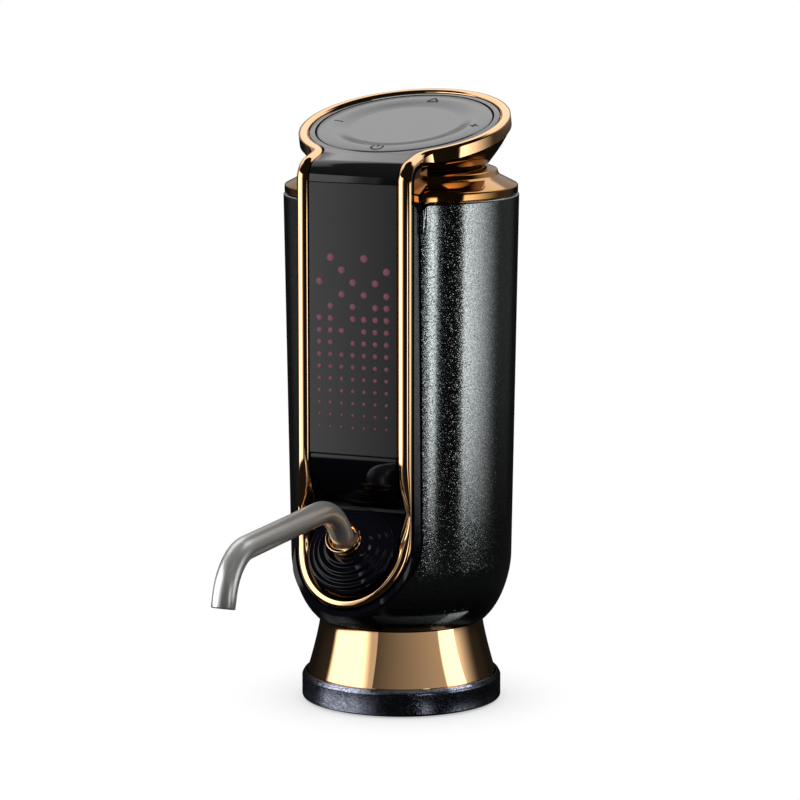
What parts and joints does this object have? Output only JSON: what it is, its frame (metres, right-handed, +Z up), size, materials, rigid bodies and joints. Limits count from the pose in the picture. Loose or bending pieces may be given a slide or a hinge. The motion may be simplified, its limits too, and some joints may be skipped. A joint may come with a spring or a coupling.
{
  "type": "electric wine aerator",
  "caption": "Upright electric wine aerator that seats on a bottle: round sparkle-black body with gold trim, black front panel, angled round control pad and a swivelling steel spout.",
  "frame": {"origin": "centre of the face in the bottle seal that the bottle's lip presses against, 22 mm above the underside of the foot pad", "axes": "+Z up the body's axis, away from the bottle; -Y out of the front, the way the spout points; +X the right hand seen from the front"},
  "size_m": [0.06, 0.1373, 0.1558],
  "materials": {
    "sparkle_paint": "metal flake paint under clear lacquer",
    "gold_chrome": "mirror, copper gold",
    "gloss_black": "high gloss",
    "matt_black": "satin",
    "steel": "satin",
    "silicone": "matt",
    "circuit_board": "solder mask",
    "clear_plastic": "clear",
    "smoked_acrylic": "smoked, polished",
    "blue_sleeve": "shrink sleeve",
    "amber_film": "film"
  },
  "bodies": {
    "body": {"air_hose": "silicone", "base_flare": "gold_chrome", "base_ring": "matt_black", "battery_cell": "blue_sleeve", "battery_contact_lower": "steel", "battery_contact_upper": "steel", "board_screw_1": "steel", "board_screw_2": "steel", "body_shell": "sparkle_paint", "bottle_seal": "silicone", "charging_port": "steel", "chassis": "matt_black", "check_valve": "clear_plastic", "clamp_screw_1": "steel", "clamp_screw_2": "steel", "collar_screw_1": "steel", "collar_screw_2": "steel", "collar_screw_3": "steel", "display_board": "circuit_board", "display_flex": "amber_film", "display_window": "smoked_acrylic", "foot_pad": "silicone", "front_housing": "gloss_black", "head_bowl": "gold_chrome", "light_guide": "clear_plastic", "main_board": "circuit_board", "mixing_chamber": "clear_plastic", "motor_clamp": "matt_black", "neck_ring": "matt_black", "pad_flex": "amber_film", "pad_gasket": "silicone", "pad_post": "steel", "port_manifold": "clear_plastic", "pump_diaphragm": "silicone", "pump_frame": "matt_black", "pump_head": "matt_black", "pump_motor": "steel", "socket_screw_1": "steel", "socket_screw_2": "steel", "socket_screw_3": "steel", "socket_sleeve": "matt_black", "spout_hub": "gloss_black", "spout_oring": "silicone", "spout_seat_ring": "gold_chrome", "switch_board": "circuit_board", "tact_switch_back": "steel", "tact_switch_front": "steel", "tact_switch_left": "steel", "tact_switch_right": "steel", "top_collar": "gold_chrome", "top_plate": "gloss_black", "trim_frame": "gold_chrome", "wine_hose": "silicone"},
    "gimbal": {"pad_gimbal": "steel"},
    "pad": {"control_pad": "gloss_black"},
    "spout": {"spout_tube": "steel", "spout_collar": "gold_chrome"},
    "shaft": {"motor_shaft": "steel"}
  },
  "joints": [
    {"name": "pad_tilt_x", "type": "hinge", "parent": "body", "child": "gimbal", "pos_m": [0, 0.00347, 0.12078], "axis": [1, 0, 0], "range_deg": [-1.5, 1.5], "stiffness_Nm_per_rad": 1.4},
    {"name": "pad_tilt_y", "type": "hinge", "parent": "gimbal", "child": "pad", "pos_m": [0, 0.00347, 0.12078], "axis": [0, 0.9694, 0.2453], "range_deg": [-1.5, 1.5], "stiffness_Nm_per_rad": 1.4},
    {"name": "spout_swivel", "type": "hinge", "parent": "body", "child": "spout", "pos_m": [0, -0.0312, 0.0223], "axis": [0, -0.7986, 0.6018], "range_deg": [-35, 35]},
    {"name": "motor_spin", "type": "hinge", "parent": "body", "child": "shaft", "pos_m": [0, -0.0104, 0.061], "axis": [0, 0, 1], "continuous": true}
  ]
}
